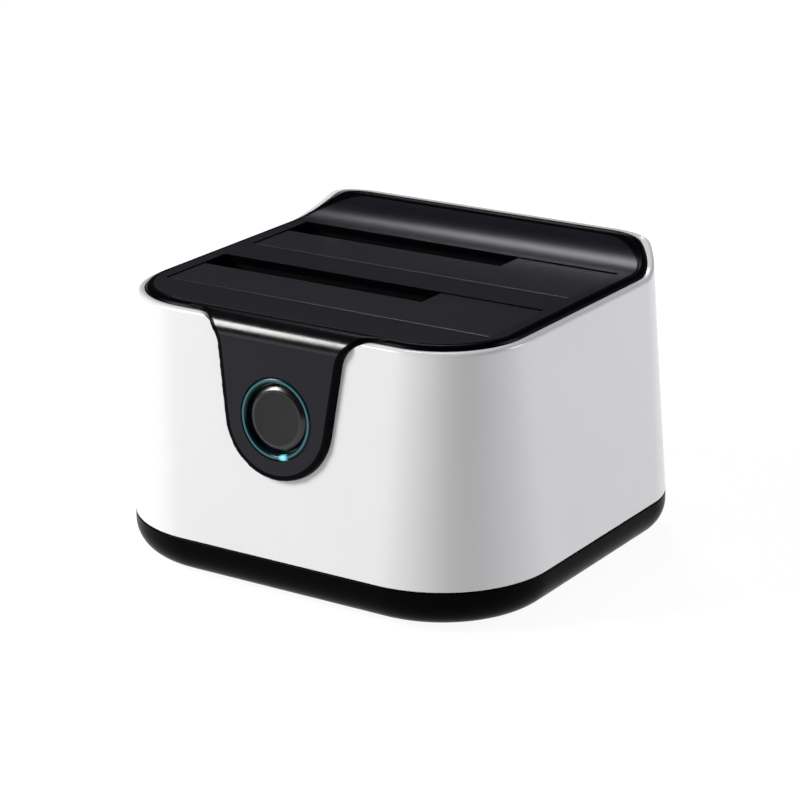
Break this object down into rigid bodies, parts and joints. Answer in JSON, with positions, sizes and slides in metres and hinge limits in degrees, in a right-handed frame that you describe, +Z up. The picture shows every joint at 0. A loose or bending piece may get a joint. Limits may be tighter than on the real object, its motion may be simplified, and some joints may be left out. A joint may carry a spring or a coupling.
{
  "type": "hard drive docking station",
  "caption": "Desktop docking station that holds hard drives upright behind sprung flaps, with a ring-lit power button on a tongue down its front",
  "frame": {"origin": "middle of the footprint, on the surface that the feet stand on", "axes": "+X along the front to the right, +Y to the back, +Z up; the front faces -Y"},
  "size_m": [0.1282, 0.1157, 0.0838],
  "materials": {
    "white_gloss_plastic": "glossy moulded",
    "black_satin_plastic": "satin with a fine grain",
    "black_gloss_plastic": "glossy moulded",
    "black_inner_plastic": "plain moulded",
    "flap_plastic": "satin with a fine grain",
    "button_plastic": "satin",
    "teal_light_plastic": "tinted, lit from behind",
    "foot_rubber": "matte",
    "pin_steel": "drawn wire",
    "screw_steel": "dark zinc",
    "board_laminate": "green lacquer",
    "connector_plastic": "moulded",
    "contact_metal": "gold flash",
    "socket_metal": "nickel plated",
    "socket_plastic": "moulded",
    "chip_plastic": "moulded",
    "can_aluminium": "drawn can",
    "lamp_plastic": "moulded",
    "header_plastic": "moulded",
    "lead_sheath": "flat ribbon"
  },
  "bodies": {
    "housing": {"outer_shell": "white_gloss_plastic", "top_cover": "black_satin_plastic", "base_tray": "black_gloss_plastic", "rubber_feet": "foot_rubber", "drive_frame": "black_inner_plastic", "front_hinge_pin": "pin_steel", "rear_hinge_pin": "pin_steel", "front_flap_spring": "pin_steel", "rear_flap_spring": "pin_steel", "main_board": "board_laminate", "front_drive_connector": "connector_plastic", "rear_drive_connector": "connector_plastic", "front_connector_contacts": "contact_metal", "rear_connector_contacts": "contact_metal", "usb_socket_shell": "socket_metal", "usb_socket_insert": "socket_plastic", "power_inlet": "connector_plastic", "power_inlet_pin": "socket_metal", "bridge_chip": "chip_plastic", "capacitors": "can_aluminium", "power_coils": "chip_plastic", "light_ring": "teal_light_plastic", "button_switch": "chip_plastic", "button_board": "board_laminate", "ring_lamps": "lamp_plastic", "lead_headers": "header_plastic", "lead_plugs": "header_plastic", "button_lead": "lead_sheath", "case_screws": "screw_steel", "board_screws": "screw_steel", "cover_screws": "screw_steel", "button_board_screws": "screw_steel"},
    "front_flap": {"front_flap": "flap_plastic"},
    "rear_flap": {"rear_flap": "flap_plastic"},
    "power_button": {"power_button": "button_plastic", "switch_plunger": "button_plastic"}
  },
  "joints": [
    {"name": "front_flap_hinge", "type": "hinge", "parent": "housing", "child": "front_flap", "pos_m": [0, -0.03857, 0.0727], "axis": [-1, 0, 0], "range_deg": [0, 90], "stiffness_Nm_per_rad": 0.01, "springref_deg": -28.65, "deforming": ["front_flap_spring"]},
    {"name": "rear_flap_hinge", "type": "hinge", "parent": "housing", "child": "rear_flap", "pos_m": [0, 0.00157, 0.0727], "axis": [-1, 0, 0], "range_deg": [0, 90], "stiffness_Nm_per_rad": 0.01, "springref_deg": -28.65, "deforming": ["rear_flap_spring"]},
    {"name": "power_button_slide", "type": "slide", "parent": "housing", "child": "power_button", "axis": [0, 0.9977, -0.0678], "range_m": [0, 0.001], "stiffness_N_per_m": 800, "springref_m": -0.0005}
  ]
}
